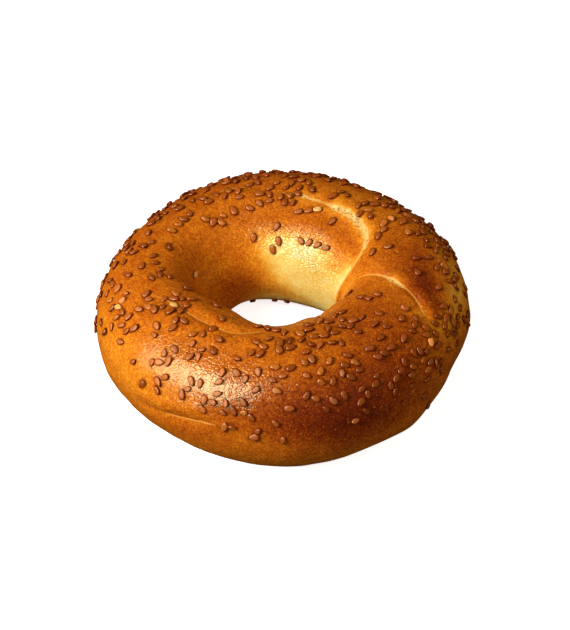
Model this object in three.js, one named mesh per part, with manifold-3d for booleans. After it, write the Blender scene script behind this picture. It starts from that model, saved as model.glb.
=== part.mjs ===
// A sesame bagel: one closed ring of baked dough with its seeds fused on.
//
// Millimetres, +Z up. The bagel lies on z = 0 on the narrow flat ring that the oven tray left under it, and the
// middle of its outline is over the origin. A place on the crust is given by two angles in degrees: `around` goes
// round the ring from +X towards +Y, and `across` goes round the dough rope, from its outer side (0) over its
// top (90) to the wall of the hole (180) and on below.

import * as THREE from 'three';
import { mergeVertices } from 'three/addons/utils/BufferGeometryUtils.js';
import Module from 'manifold-3d';

// ---------------------------------------------------------------------------------------------------------
// Driving dimensions

const RING_CENTRE = new THREE.Vector2(-1.9, 1.3); // puts the middle of the uneven outline over the origin
const RING_RADIUS = 35.3;                         // middle of the hole to the middle of the dough rope
const ROPE_HALF_WIDTH = 18.4;
const ROPE_HALF_HEIGHT = 18.7;
const ROPE_SQUARENESS = 2.15;                     // power of the rope's section: 2 is an ellipse, more is fuller
const SETTLING = 0.9;                             // height of the rope's middle, as a share of its half height
const BASE_EASE = 1.2;                            // height over which the section eases into its flat spot

// The rope was rolled by hand: [waves round the ring, height in mm, place of a crest].
const RING_RADIUS_WAVES = [[2, 1.5, -10], [3, 1.0, 23], [4, 0.8, 0]];
const ROPE_WIDTH_WAVES = [[1, 2.1, -33], [2, 1.3, 74], [3, 1.0, -34], [4, 0.6, 29]];
const ROPE_HEIGHT_WAVES = [[1, 0.4, 47], [2, 0.5, 71]];

// Soft swellings and hollows: [around, across, reach around, reach across, height in mm].
const SWELLINGS = [
  [8, 116, 14, 20, 1.5],    // the lobe that the rope's end makes between its two seams
  [336, 68, 6, 20, -0.7],   // the groove beside it
  [315, 332, 7, 26, 1.0],   // low bulge beside the dent
  [341, 347, 8, 26, -1.2],  // dent in the outer side, under the lobe
  [354, 4, 6, 20, 0.5],
  [250, 46, 24, 16, 0.8],   // flatter shoulder
  [250, 76, 24, 16, -0.5],
  [146, 213, 22, 22, 5.2],  // the hole's wall leans in low on one side
  [311, 139, 11, 24, -2.0], // and stands back across from there
];

// Seams and folds of the crust. A path is a few places that a smooth curve joins. `banks` is how far the crust
// swells on the left and on the right of the path, seen from outside, and `ends` is the share of the path over
// which the crease fades out at its start and at its end.
const CREASES = [
  {
    // The overlap: the rope's end lies over its start, and the crust has torn a little along it.
    path: [[90, 97], [72, 99], [55, 100.5], [42, 102.5], [28.5, 109.5], [18.5, 122], [14, 140], [13.3, 157],
      [16.5, 177], [23, 200]],
    depth: 0.8, halfWidth: 1.7, banks: [0.3, -0.6], ends: [0.3, 0.7],
  },
  {
    // The other side of the lobe, running out over the top into a groove.
    path: [[361, 143], [357.5, 130], [351.5, 108], [345.5, 91], [339, 70], [335, 56], [334, 42]],
    depth: 0.5, halfWidth: 1.1, banks: [0.25, 0.0], ends: [0.3, 0.3],
  },
  {
    // A long shallow fold beside the hole.
    path: [[199, 85], [210, 92], [229.5, 95], [246.5, 98], [258, 108], [270, 116]],
    depth: 0.6, halfWidth: 1.5, banks: [0.35, 0.15], ends: [0.3, 0.3],
  },
  {
    // A short low fold near the outer side.
    path: [[218, 358], [227, 358], [235, 361.5], [246, 368], [252, 371]],
    depth: 0.6, halfWidth: 1.5, banks: [0.4, 0.1], ends: [0.3, 0.3],
  },
  {
    // A faint fold at the back of the top.
    path: [[128, 90], [117, 83], [104, 85.5], [95, 89]],
    depth: 0.5, halfWidth: 1.6, banks: [0.1, 0.3], ends: [0.35, 0.35],
  },
];
const CREASE_SHARPNESS = 1.4;   // 2 is a round-bottomed crease, 1 a folded one
const BANK_REACH = 2.4;         // a bank is highest at this many half widths from its crease
const BASE_CALM = 6;            // relief dies away over this height above the base
const CREASE_STEPS = 90;        // points of a crease's curve

// Mesh of the dough: even quads, halved near the creases until they are fine enough to show them.
const RINGS_AROUND = 48;
const POINTS_ACROSS = 25;
const FINE_EDGE = 2.2;
const FINE_REACH = 2.8;         // how far from a crease the mesh is fine
const DRAWN_IN = 0.85;          // points this close to a crease are drawn into its bottom
const SHORTEST_EDGE = 0.06;     // shorter edges are closed up after the seeds are joined on

// Sesame seeds
const SEED_LENGTH = 3.0;
const SEED_WIDTH = 1.85;
const SEED_RISE = 0.75;         // the seed's back above the crust
const SEED_SUNK = 0.15;         // its widest level below the crust
const SEED_ROOT = 1.2;          // how deep its point goes into the dough, so that it holds
const SEED_TAPER = 0.3;         // how much narrower it is towards its tip
const SEED_SIZE_SPREAD = 0.16;  // seeds are this much larger or smaller than the size above
const SEED_RIM = [0, 62, 126, 180, 234, 298]; // corners of the seed's outline, in degrees from its tip
const SEED_COUNT = 490;         // seeds on the whole bagel
const FUSED_SEEDS = 250;        // the largest of them, which are fused on as solids
const FUSED_SPACING = 3.1;      // least distance between the middles of two fused seeds
const SEED_SPACING = 2.3;       // least distance between two seeds' middles
const CLUSTER_CHANCE = 0.12;    // chance that a seed lies beside another one
const CLUSTER_REACH = [2.3, 3.2];
const CLUSTER_LIKING = 1.6;     // how much more seeds like such a place
const LOWEST_SEED = -32;
const HIGHEST_SEED = 205;
const ON_EDGE_CHANCE = 0.14;
const RANDOM_START = 20611;

// Where seeds keep away or crowd: [around, across, reach around, reach across, share of seeds there].
const SEED_PATCHES = [
  [4, 118, 24, 26, 0.1],     // the smooth lobe
  [48, 103, 30, 13, 0.1],    // beside the torn seam
  [75, 124, 40, 16, 0.2],    // the slope into the hole
  [354, 113, 14, 16, 0.1],   // the lobe's edge
  [338, 72, 9, 24, 0.08],    // the groove
  [216, 2, 34, 26, 0.12],    // low on the outer side
  [185, 60, 34, 50, 0.7],
  [215, 112, 30, 16, 0.4],
  [290, 86, 36, 30, 1.4],
  [248, 50, 16, 18, 0.6],
  [88, 66, 60, 24, 1.3],
  [350, 30, 26, 22, 1.6],
];
// A row of four seeds on the slope into the hole.
const SEED_ROW = { first: [66, 142], step: [-8, -0.3], turns: [-35, 70, 50, 30], size: 0.95 };
// Seeds that lie alone, on the bare slope into the hole, beside the seams and under the hole's wall:
// [around, across, turn].
const SINGLE_SEEDS = [
  [110, 142, 80], [94, 154, 95], [90, 132.5, 60], [88, 146, 100], [10, 117, 140], [10.5, 103.5, 80],
  [40, 97.5, 105], [23.5, 97, 120], [49.5, 115, 85], [68, 112.5, 35], [74.5, 116, 25], [78, 97.5, 145],
  [82.5, 86, 90], [93.5, 92, 40], [99, 83, 110], [100.5, 109, 125], [107, 113, 145], [344.5, 141, 165],
  [331.5, 113, 95], [331, 105.5, 90], [313.5, 109, 5], [111, 222, 90], [92, 222, 90], [80, 219, 90],
  [63, 109, 20], [164.5, 152, 0], [197.5, 52, 35], [211, 91, 15],
];

// ---------------------------------------------------------------------------------------------------------
// The rope

const radians = THREE.MathUtils.degToRad;

/** A length that varies round the ring. */
function wavy(mean, waves, around) {
  return waves.reduce((sum, [count, height, crest]) => sum + height * Math.cos(count * radians(around - crest)), mean);
}

/** cos or sin of an angle, made fuller by the section's squareness. */
function fuller(value) {
  return Math.sign(value) * Math.abs(value) ** (2 / ROPE_SQUARENESS);
}

/** Height above the floor, with everything below it pressed flat and a soft turn into the flat. */
function pressed(height) {
  if (height > BASE_EASE) return height;
  return height < -BASE_EASE ? 0 : (height + BASE_EASE) ** 2 / (4 * BASE_EASE);
}

/** Smooth step from 0 at `low` to 1 at `high`. */
function rise(value, low, high) {
  return THREE.MathUtils.smoothstep(value, low, high);
}

/** A point of the even rope, before any relief. */
function ropePoint([around, across]) {
  const halfHeight = wavy(ROPE_HALF_HEIGHT, ROPE_HEIGHT_WAVES, around);
  const out = fuller(Math.cos(radians(across))) * wavy(ROPE_HALF_WIDTH, ROPE_WIDTH_WAVES, around);
  const radius = wavy(RING_RADIUS, RING_RADIUS_WAVES, around) + out;
  const height = pressed(fuller(Math.sin(radians(across))) * halfHeight + SETTLING * halfHeight);
  return new THREE.Vector3(
    RING_CENTRE.x + radius * Math.cos(radians(around)),
    RING_CENTRE.y + radius * Math.sin(radians(around)),
    height,
  );
}

/** The rope's directions at a place: along the ring, across the rope, and out of the crust. */
function ropeFrame([around, across]) {
  const nudge = 0.5;
  const along = ropePoint([around + nudge, across]).sub(ropePoint([around - nudge, across])).normalize();
  const over = ropePoint([around, across + nudge]).sub(ropePoint([around, across - nudge])).normalize();
  const out = new THREE.Vector3().crossVectors(along, over).normalize();
  return { along, over, out };
}

/** Signed difference of two angles, from -180 to 180. */
function turn(from, to) {
  return THREE.MathUtils.euclideanModulo(to - from + 180, 360) - 180;
}

/** 1 in the middle of an oval patch of the crust, falling softly to 0 outside it. */
function patch([around, across], [middleAround, middleAcross, reachAround, reachAcross]) {
  const x = turn(middleAround, around) / reachAround;
  const y = turn(middleAcross, across) / reachAcross;
  return Math.exp(-(x * x + y * y));
}

/** A crease's curve on the rope: points with the direction to the left and the crease's strength there. */
function creaseCurve({ path, ends }) {
  const places = new THREE.CatmullRomCurve3(
    path.map(([around, across]) => new THREE.Vector3(around, across, 0)), false, 'catmullrom', 0.5,
  ).getPoints(CREASE_STEPS).map(({ x, y }) => [x, y]);
  const points = places.map(ropePoint);
  return points.map((point, i) => {
    const ahead = points[Math.min(i + 1, CREASE_STEPS)].clone().sub(points[Math.max(i - 1, 0)]).normalize();
    const left = new THREE.Vector3().crossVectors(ropeFrame(places[i]).out, ahead);
    const share = i / CREASE_STEPS;
    return { place: places[i], point, left, strength: rise(share, 0, ends[0]) * rise(1 - share, 0, ends[1]) };
  });
}

const creaseCurves = CREASES.map(creaseCurve);

/** The nearest point of a crease's curve, with its distance. */
function nearestOn(curve, point) {
  let nearest = null;
  let distance = Infinity;
  for (const knot of curve) {
    const there = knot.point.distanceTo(point);
    if (there < distance) {
      nearest = knot;
      distance = there;
    }
  }
  return { ...nearest, distance };
}

/** How far one crease moves the crust outwards at a point of the rope. */
function creaseRelief({ depth, halfWidth, banks }, curve, point) {
  const { point: knot, left, strength, distance } = nearestOn(curve, point);
  const valley = Math.exp(-((distance / halfWidth) ** CREASE_SHARPNESS));
  const side = point.clone().sub(knot).dot(left) > 0 ? banks[0] : banks[1];
  const away = distance / (halfWidth * BANK_REACH);
  const bank = away * away * Math.exp(1 - away * away);
  return strength * (side * bank - depth * valley);
}

/** A point of the finished crust. */
function crustPoint(place) {
  const point = ropePoint(place);
  const swelling = SWELLINGS.reduce((sum, spot) => sum + spot[4] * patch(place, spot), 0);
  const creases = CREASES.reduce((sum, crease, i) => sum + creaseRelief(crease, creaseCurves[i], point), 0);
  const calm = rise(point.z, 0, BASE_CALM);
  return point.addScaledVector(ropeFrame(place).out, calm * (swelling + creases));
}

// ---------------------------------------------------------------------------------------------------------
// Mesh of the dough

/** The place half way between two places. */
function halfWay([aroundA, acrossA], [aroundB, acrossB]) {
  return [aroundA + turn(aroundA, aroundB) / 2, acrossA + turn(acrossA, acrossB) / 2];
}

/** An even net of places over the rope, with its triangles. */
function evenNet() {
  const places = [];
  const triangles = [];
  const index = (i, j) => (i % RINGS_AROUND) * POINTS_ACROSS + (j % POINTS_ACROSS);
  for (let i = 0; i < RINGS_AROUND; i++) {
    for (let j = 0; j < POINTS_ACROSS; j++) {
      // The lowest row lies at 270, in the middle of the flat base.
      places.push([(360 * i) / RINGS_AROUND, 270 + (360 * j) / POINTS_ACROSS]);
      const [a, b, c, d] = [index(i, j), index(i + 1, j), index(i + 1, j + 1), index(i, j + 1)];
      if ((i + j) % 2) triangles.push([a, b, c], [a, c, d]);
      else triangles.push([a, b, d], [b, c, d]);
    }
  }
  return { places, triangles };
}

/** Halves every long edge near a crease once. Returns false when there is none. */
function refine(net) {
  const points = net.places.map(ropePoint);
  const middles = new Map();
  const middleOf = (a, b) => {
    const key = a < b ? `${a} ${b}` : `${b} ${a}`;
    if (!middles.has(key)) {
      let middle = -1;
      const halfPoint = points[a].clone().add(points[b]).multiplyScalar(0.5);
      const near = creaseCurves.some((curve) => nearestOn(curve, halfPoint).distance < FINE_REACH);
      if (near && points[a].distanceTo(points[b]) > FINE_EDGE) {
        middle = net.places.push(halfWay(net.places[a], net.places[b])) - 1;
      }
      middles.set(key, middle);
    }
    return middles.get(key);
  };
  const finer = [];
  for (const [a, b, c] of net.triangles) {
    const [ab, bc, ca] = [middleOf(a, b), middleOf(b, c), middleOf(c, a)];
    const halved = [ab, bc, ca].filter((middle) => middle >= 0).length;
    if (halved === 0) finer.push([a, b, c]);
    else if (halved === 3) finer.push([a, ab, ca], [ab, b, bc], [ca, bc, c], [ab, bc, ca]);
    else if (halved === 1) {
      if (ab >= 0) finer.push([a, ab, c], [ab, b, c]);
      else if (bc >= 0) finer.push([a, b, bc], [a, bc, c]);
      else finer.push([a, b, ca], [ca, b, c]);
    } else if (ab < 0) finer.push([a, b, bc], [a, bc, ca], [ca, bc, c]);
    else if (bc < 0) finer.push([a, ab, ca], [ab, b, ca], [ca, b, c]);
    else finer.push([a, ab, c], [ab, b, bc], [ab, bc, c]);
  }
  const changed = finer.length > net.triangles.length;
  net.triangles = finer;
  return changed;
}

/** A place, moved into the bottom of the crease beside it where one is within reach. */
function drawnIn(place) {
  const point = ropePoint(place);
  const nearest = creaseCurves.map((curve) => nearestOn(curve, point)).sort((a, b) => a.distance - b.distance)[0];
  return nearest.distance < DRAWN_IN ? nearest.place : place;
}

/** The bare dough as one closed geometry. */
function doughGeometry() {
  const net = evenNet();
  while (refine(net));
  return geometryOf(net.places.map(drawnIn).map(crustPoint), net.triangles);
}

/** A geometry from points and triangles. */
function geometryOf(points, triangles) {
  const geometry = new THREE.BufferGeometry().setFromPoints(points);
  geometry.setIndex(triangles.flat());
  return geometry;
}

// ---------------------------------------------------------------------------------------------------------
// Sesame seeds

/** Draws from 0 to 1 that come out the same every time. */
function drawsFrom(start) {
  let state = start;
  return () => {
    state = (state * 16807) % 2147483647;
    return state / 2147483647;
  };
}

/** How much seeds like a place, from 0 to 1. */
function seedLiking(place) {
  const across = turn(90, place[1]) + 90;
  const outside = 0.06 * rise(across, LOWEST_SEED, -10) + 0.94 * rise(across, -10, 40);
  const holeSide = 1 - rise(across, 102, 132);
  const patches = SEED_PATCHES.reduce((share, spot) => share * (1 + (spot[4] - 1) * patch(place, spot)), 1);
  const end = 1 - rise(across, 185, HIGHEST_SEED);
  return 0.66 * outside * holeSide * patches * end;
}

/** A place beside another one, `distance` mm away in the given direction. */
function beside(place, distance, direction) {
  const here = ropePoint(place);
  const perAround = ropePoint([place[0] + 1, place[1]]).distanceTo(here);
  const perAcross = ropePoint([place[0], place[1] + 1]).distanceTo(here);
  return [
    place[0] + (distance * Math.cos(direction)) / perAround,
    place[1] + (distance * Math.sin(direction)) / perAcross,
  ];
}

/** All seeds of the bagel: place, size, turn on the crust, roll about their length and pitch, in draw order. */
function scatterSeeds() {
  const draw = drawsFrom(RANDOM_START);
  const seeds = SEED_ROW.turns.map((turned, i) => ({
    place: [SEED_ROW.first[0] + i * SEED_ROW.step[0], SEED_ROW.first[1] + i * SEED_ROW.step[1]],
    size: SEED_ROW.size, turned: radians(turned), roll: 0, pitch: 0,
  }));
  for (const [around, across, turned] of SINGLE_SEEDS) {
    seeds.push({ place: [around, across], size: 1, turned: radians(turned), roll: 0, pitch: 0 });
  }
  const widest = RING_RADIUS + ROPE_HALF_WIDTH;
  const [near, far] = CLUSTER_REACH;
  while (seeds.length < SEED_COUNT) {
    const clustered = draw() < CLUSTER_CHANCE;
    const [first, second, third] = [draw(), draw(), draw()];
    const place = clustered
      ? beside(seeds[Math.floor(third * seeds.length)].place, near + first * (far - near), 2 * Math.PI * second)
      : [360 * first, LOWEST_SEED + second * (HIGHEST_SEED - LOWEST_SEED)];
    const seed = {
      place,
      size: 1 + SEED_SIZE_SPREAD * (2 * draw() - 1),
      turned: 2 * Math.PI * draw(),
      roll: (draw() < ON_EDGE_CHANCE ? 0.9 : 0.22) * (2 * draw() - 1),
      pitch: 0.2 * (2 * draw() - 1),
    };
    const point = ropePoint(place);
    const evenArea = clustered ? 1 : Math.hypot(point.x - RING_CENTRE.x, point.y - RING_CENTRE.y) / widest;
    const liked = draw() < seedLiking(place) * evenArea * (clustered ? CLUSTER_LIKING : 1);
    if (liked && seeds.every((other) => ropePoint(other.place).distanceTo(point) > SEED_SPACING)) seeds.push(seed);
  }
  return seeds;
}

/** One seed as a small closed form: a teardrop outline, a domed back of two points and one root point. */
function seedGeometry({ place, size, turned, roll, pitch }) {
  const rim = SEED_RIM.map((corner) => {
    const along = Math.cos(radians(corner));
    const aside = Math.sin(radians(corner)) * (1 - SEED_TAPER * along);
    return new THREE.Vector3((along * SEED_LENGTH) / 2, (aside * SEED_WIDTH) / 2, 0);
  });
  const backRise = SEED_RISE + SEED_SUNK;
  const tipBack = new THREE.Vector3(0.2 * SEED_LENGTH, 0, 0.8 * backRise);
  const broadBack = new THREE.Vector3(-0.18 * SEED_LENGTH, 0, backRise);
  const root = new THREE.Vector3(-0.05 * SEED_LENGTH, 0, SEED_SUNK - SEED_ROOT);
  const points = [...rim, tipBack, broadBack, root];
  const [tip, broad, below] = [rim.length, rim.length + 1, rim.length + 2];
  const triangles = [];
  rim.forEach((_, i) => {
    const next = (i + 1) % rim.length;
    const nearTip = i < 1 || i > 4;
    triangles.push([i, next, nearTip ? tip : broad], [next, i, below]);
  });
  triangles.push([1, broad, tip], [5, tip, broad]);
  const { along, over, out } = ropeFrame(place);
  const placing = new THREE.Matrix4().makeBasis(along, over, out)
    .multiply(new THREE.Matrix4().makeRotationZ(turned))
    .multiply(new THREE.Matrix4().makeRotationY(pitch))
    .multiply(new THREE.Matrix4().makeRotationX(roll))
    .scale(new THREE.Vector3(size, size, size));
  placing.setPosition(crustPoint(place).addScaledVector(out, -SEED_SUNK * size));
  return geometryOf(points.map((point) => point.applyMatrix4(placing)), triangles);
}

// ---------------------------------------------------------------------------------------------------------
// Joining

const wasm = await Module();
wasm.setup();

/** A solid for joining, from a closed geometry. */
function solidOf(geometry) {
  const merged = mergeVertices(geometry);
  return new wasm.Manifold(new wasm.Mesh({
    numProp: 3,
    vertProperties: Float32Array.from(merged.attributes.position.array),
    triVerts: Uint32Array.from(merged.index.array),
  }));
}

/** The points and triangles of a joined solid. */
function netOf(solid) {
  const { vertProperties, triVerts } = solid.getMesh();
  const points = [];
  for (let i = 0; i < vertProperties.length; i += 3) points.push(new THREE.Vector3().fromArray(vertProperties, i));
  const triangles = [];
  for (let i = 0; i < triVerts.length; i += 3) triangles.push([...triVerts.subarray(i, i + 3)]);
  return { points, triangles };
}

/** Closes up the edges shorter than SHORTEST_EDGE that joining leaves, wherever the surface stays whole. */
function withoutSlivers({ points, triangles }) {
  const facesAt = points.map(() => new Set());
  triangles.forEach((corners, face) => corners.forEach((corner) => facesAt[corner].add(face)));
  const neighbours = (point) => new Set([...facesAt[point]].flatMap((face) => triangles[face]));
  const normalOf = (corners) => {
    const [a, b, c] = corners.map((corner) => points[corner]);
    return new THREE.Vector3().crossVectors(b.clone().sub(a), c.clone().sub(a));
  };
  const closeUp = (kept, dropped) => {
    const around = neighbours(kept);
    const shared = [...neighbours(dropped)].filter((point) => around.has(point)).length;
    // The two ends and the two corners across the edge: with more, closing it would pinch the surface.
    if (shared !== 4) return false;
    const moved = [...facesAt[dropped]].filter((face) => !triangles[face].includes(kept));
    const turned = moved.map((face) => triangles[face].map((corner) => (corner === dropped ? kept : corner)));
    if (turned.some((corners, i) => normalOf(corners).dot(normalOf(triangles[moved[i]])) <= 0)) return false;
    for (const face of [...facesAt[dropped]]) {
      if (moved.includes(face)) continue;
      triangles[face].forEach((corner) => facesAt[corner].delete(face));
      triangles[face] = null;
    }
    moved.forEach((face, i) => {
      triangles[face] = turned[i];
      facesAt[kept].add(face);
    });
    facesAt[dropped].clear();
    return true;
  };
  triangles.forEach((_, face) => {
    for (let corner = 0; corner < 3 && triangles[face]; corner++) {
      const [a, b] = [triangles[face][corner], triangles[face][(corner + 1) % 3]];
      if (points[a].distanceTo(points[b]) < SHORTEST_EDGE && !closeUp(a, b)) closeUp(b, a);
    }
  });
  return { points, triangles: triangles.filter((corners) => corners) };
}

/** The largest seeds that lie clear of each other, so that no two of them pinch a gap shut. */
function fusedSeeds() {
  const chosen = [];
  for (const seed of scatterSeeds().sort((a, b) => b.size - a.size)) {
    const point = ropePoint(seed.place);
    const clear = chosen.every((other) => ropePoint(other.place).distanceTo(point) > FUSED_SPACING);
    if (clear && chosen.length < FUSED_SEEDS) chosen.push(seed);
  }
  return chosen;
}

/** The dough with its largest seeds fused on. */
function bagelGeometry() {
  const joined = fusedSeeds().reduce((solid, seed) => solid.add(solidOf(seedGeometry(seed))), solidOf(doughGeometry()));
  const { points, triangles } = withoutSlivers(netOf(joined));
  const geometry = mergeVertices(geometryOf(points, triangles));
  geometry.computeVertexNormals();
  return geometry;
}

const crust = new THREE.MeshStandardMaterial({ color: 0xb8701c, roughness: 0.42, metalness: 0 });
const bagel = new THREE.Mesh(bagelGeometry(), crust);
bagel.name = 'bagel';

const model = new THREE.Group();
model.add(bagel);

export default model;
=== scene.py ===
"""A sesame bagel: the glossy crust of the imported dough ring, and its seeds in three shades.

Sizes are millimetres, and each mesh is written in metres. A place on the crust is two angles in degrees:
`around` goes round the ring from +X towards +Y, and `across` goes round the dough rope, from its outer
side (0) over its top (90) to the wall of the hole (180) and on below.
"""

from __future__ import annotations

import logging
import math
from dataclasses import dataclass, field
from enum import Enum
from typing import Any, Iterator, Sequence

import bpy
import numpy as np
from mathutils import Matrix, Vector, noise


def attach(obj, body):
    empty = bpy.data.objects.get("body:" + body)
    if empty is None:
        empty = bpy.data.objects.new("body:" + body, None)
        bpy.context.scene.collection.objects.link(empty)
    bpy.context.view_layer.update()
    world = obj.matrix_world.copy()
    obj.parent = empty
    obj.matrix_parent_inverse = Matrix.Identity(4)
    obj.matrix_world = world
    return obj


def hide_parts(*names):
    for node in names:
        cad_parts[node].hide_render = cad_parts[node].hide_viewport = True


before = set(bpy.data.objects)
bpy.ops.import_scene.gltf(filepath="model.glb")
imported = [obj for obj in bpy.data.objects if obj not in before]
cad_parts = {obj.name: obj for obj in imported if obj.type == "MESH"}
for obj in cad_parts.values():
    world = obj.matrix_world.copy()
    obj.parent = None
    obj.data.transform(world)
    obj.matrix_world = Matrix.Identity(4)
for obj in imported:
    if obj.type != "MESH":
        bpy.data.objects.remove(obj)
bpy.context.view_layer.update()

log = logging.getLogger("bagel")

MM = 0.001
BODY = "root"
NODE = "bagel"

Array = np.ndarray
Colour = tuple[float, float, float]
Pair = tuple[float, float]
Place = Pair
Waves = tuple[tuple[int, float, float], ...]


# --- Shader writing ---


class Value:
    """One output socket of a material, on which sums are written as Python expressions."""

    def __init__(self, board: Board, socket: bpy.types.NodeSocket) -> None:
        """Keeps the socket and the board that its Math nodes go on."""
        self.board = board
        self.socket = socket

    def _math(self, operation: str, *terms: Any, clamp: bool = False) -> Value:
        """The output of one Math node on the terms, which are values or numbers."""
        settings = {"operation": operation, "use_clamp": clamp}
        return self.board.node("ShaderNodeMath", settings, dict(enumerate(terms)))

    def __add__(self, other: Any) -> Value:
        """self + other."""
        return self._math("ADD", self, other)

    def __radd__(self, other: Any) -> Value:
        """other + self."""
        return self._math("ADD", other, self)

    def __sub__(self, other: Any) -> Value:
        """self - other."""
        return self._math("SUBTRACT", self, other)

    def __rsub__(self, other: Any) -> Value:
        """other - self."""
        return self._math("SUBTRACT", other, self)

    def __mul__(self, other: Any) -> Value:
        """self * other."""
        return self._math("MULTIPLY", self, other)

    def __rmul__(self, other: Any) -> Value:
        """other * self."""
        return self._math("MULTIPLY", other, self)

    def __truediv__(self, other: Any) -> Value:
        """self / other."""
        return self._math("DIVIDE", self, other)

    def __abs__(self) -> Value:
        """The value without its sign."""
        return self._math("ABSOLUTE", self)

    def clamped(self) -> Value:
        """The value held between 0 and 1."""
        return self._math("ADD", self, 0.0, clamp=True)

    def step(self, low: Any, high: Any) -> Value:
        """A smooth step from 0 where the value is low to 1 where it is high, which may be below low."""
        share = ((self - low) / (high - low)).clamped()
        return share * share * (3.0 - 2.0 * share)


class Board:
    """The node tree of one material, with its one way of adding a node."""

    MATT = {"Roughness": 0.6, "IOR": 1.08}  # a surface without its egg wash

    def __init__(self, name: str) -> None:
        """Starts an empty material of that name."""
        self.material = bpy.data.materials.new(name)
        self.material.use_nodes = True
        self.tree = self.material.node_tree
        self.tree.nodes.clear()

    def node(self, kind: str, settings: dict[str, Any], inputs: dict[Any, Any], output: Any = 0) -> Value:
        """Adds a node.

        Args:
            kind: the node's type.
            settings: its own settings, where "stops" are a colour ramp's.
            inputs: values or links of its sockets, by name or number.
            output: name or number of the socket that is returned.

        Returns:
            One output of the node, or its first input where it has no output.
        """
        made = self.tree.nodes.new(kind)
        for key, setting in settings.items():
            if key == "stops":
                self._set_stops(made.color_ramp, setting)
            else:
                setattr(made, key, setting)
        for key, given in inputs.items():
            socket = made.inputs[key]
            if isinstance(given, Value):
                self.tree.links.new(given.socket, socket)
            elif socket.type == "RGBA":
                socket.default_value = (*given, 1.0)
            else:
                socket.default_value = given
        return Value(self, made.outputs[output] if made.outputs else made.inputs[output])

    @staticmethod
    def _set_stops(ramp: bpy.types.ColorRamp, stops: Sequence[tuple[float, Colour]]) -> None:
        """Gives a colour ramp its stops.

        Args:
            ramp: the ramp.
            stops: place and colour of each stop, in order.
        """
        while len(ramp.elements) < len(stops):
            ramp.elements.new(1.0)
        for element, (place, colour) in zip(ramp.elements, stops):
            element.position = place
            element.color = (*colour, 1.0)

    def attribute(self, name: str) -> Value:
        """A number that is stored on the piece's points."""
        return self.node("ShaderNodeAttribute", {"attribute_name": name}, {}, "Fac")

    def place(self, scale: tuple[float, float, float] = (1.0, 1.0, 1.0)) -> Value:
        """The place on the piece in metres, with each direction multiplied by its scale."""
        place = self.node("ShaderNodeTexCoord", {}, {}, "Object")
        return self.node("ShaderNodeMapping", {}, {"Vector": place, "Scale": scale})

    def noise(self, place: Value, grain: float, detail: float = 2.0, rough: float = 0.5,
              bend: float = 0.0) -> Value:
        """Smooth noise.

        Args:
            place: where it is read, in metres.
            grain: size of its lumps in millimetres.
            detail: octaves of finer noise.
            rough: how strong the finer octaves are.
            bend: how much it is distorted.

        Returns:
            A value round 0.5.
        """
        inputs = {"Vector": place, "Scale": 1 / (grain * MM), "Detail": detail, "Roughness": rough,
                  "Distortion": bend}
        return self.node("ShaderNodeTexNoise", {"noise_dimensions": "3D"}, inputs)

    def bent(self, place: Value, grain: float, reach: float) -> Value:
        """A place moved aside by smooth noise, which makes a pattern read there uneven.

        Args:
            place: the place, in metres.
            grain: size of the noise's lumps in millimetres.
            reach: how far it moves, in millimetres.

        Returns:
            The moved place.
        """
        inputs = {"Vector": place, "Scale": 1 / (grain * MM), "Detail": 1.0}
        aside = self.node("ShaderNodeTexNoise", {"noise_dimensions": "3D"}, inputs, "Color")
        return self.node("ShaderNodeVectorMath", {"operation": "MULTIPLY_ADD"},
                         {0: aside, 1: (reach * MM,) * 3, 2: place})

    def cells(self, place: Value, grain: float, feature: str = "F1") -> Value:
        """A distance, in cells, in a pattern of cells as many millimetres large as the grain says."""
        inputs = {"Vector": place, "Scale": 1 / (grain * MM)}
        return self.node("ShaderNodeTexVoronoi", {"feature": feature}, inputs, "Distance")

    def ramp(self, share: Value, stops: Sequence[tuple[float, Colour]]) -> Value:
        """The colour of a ramp at a value."""
        return self.node("ShaderNodeValToRGB", {"stops": stops}, {"Fac": share}, "Color")

    def mixed(self, share: Any, one: Any, other: Any, blend: str = "MIX") -> Value:
        """Two colours mixed in the way of blend, with a share of the other one from 0 to 1."""
        settings = {"data_type": "RGBA", "blend_type": blend}
        return self.node("ShaderNodeMix", settings, {0: share, 6: one, 7: other}, 2)

    def bump(self, height: Value, depth: float, over: Value | None = None) -> Value:
        """A normal tilted by a height.

        Args:
            height: the height, as a value round 0 to 1.
            depth: what a height of 1 is, in millimetres.
            over: a normal that is tilted further.

        Returns:
            The normal.
        """
        inputs: dict[Any, Any] = {"Height": height, "Distance": depth * MM, "Strength": 1.0}
        if over is not None:
            inputs["Normal"] = over
        return self.node("ShaderNodeBump", {}, inputs, "Normal")

    def surface(self, inputs: dict[str, Any], dull: Value | None = None) -> bpy.types.Material:
        """Ends the material in a Principled surface.

        Args:
            inputs: values or links of the surface's sockets.
            dull: where the surface has lost its gloss, from 0 to 1.

        Returns:
            The material.
        """
        made = self.node("ShaderNodeBsdfPrincipled", {}, inputs)
        if dull is not None:
            matt = self.node("ShaderNodeBsdfPrincipled", {}, inputs | self.MATT)
            made = self.node("ShaderNodeMixShader", {}, {0: dull, 1: made, 2: matt})
        self.node("ShaderNodeOutputMaterial", {}, {"Surface": made})
        return self.material


# --- Places on the crust ---


def rise(value: Any, low: float, high: float) -> Any:
    """A smooth step from 0 at low to 1 at high."""
    share = np.clip((value - low) / (high - low), 0.0, 1.0)
    return share * share * (3.0 - 2.0 * share)


def turn(start: Any, end: Any) -> Any:
    """The signed difference of two angles, from -180 to 180."""
    return np.mod(end - start + 180.0, 360.0) - 180.0


def unit(vectors: Array) -> Array:
    """Vectors made one long."""
    return vectors / np.linalg.norm(vectors, axis=-1, keepdims=True)


def lumps(points: Array, size: float, shift: float = 0.0) -> Array:
    """Heights of smooth lumps of one size, mostly within -0.6 to 0.6; the shift makes another pattern."""
    return np.array([noise.noise(Vector(point)) for point in (points / size + shift)])


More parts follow.
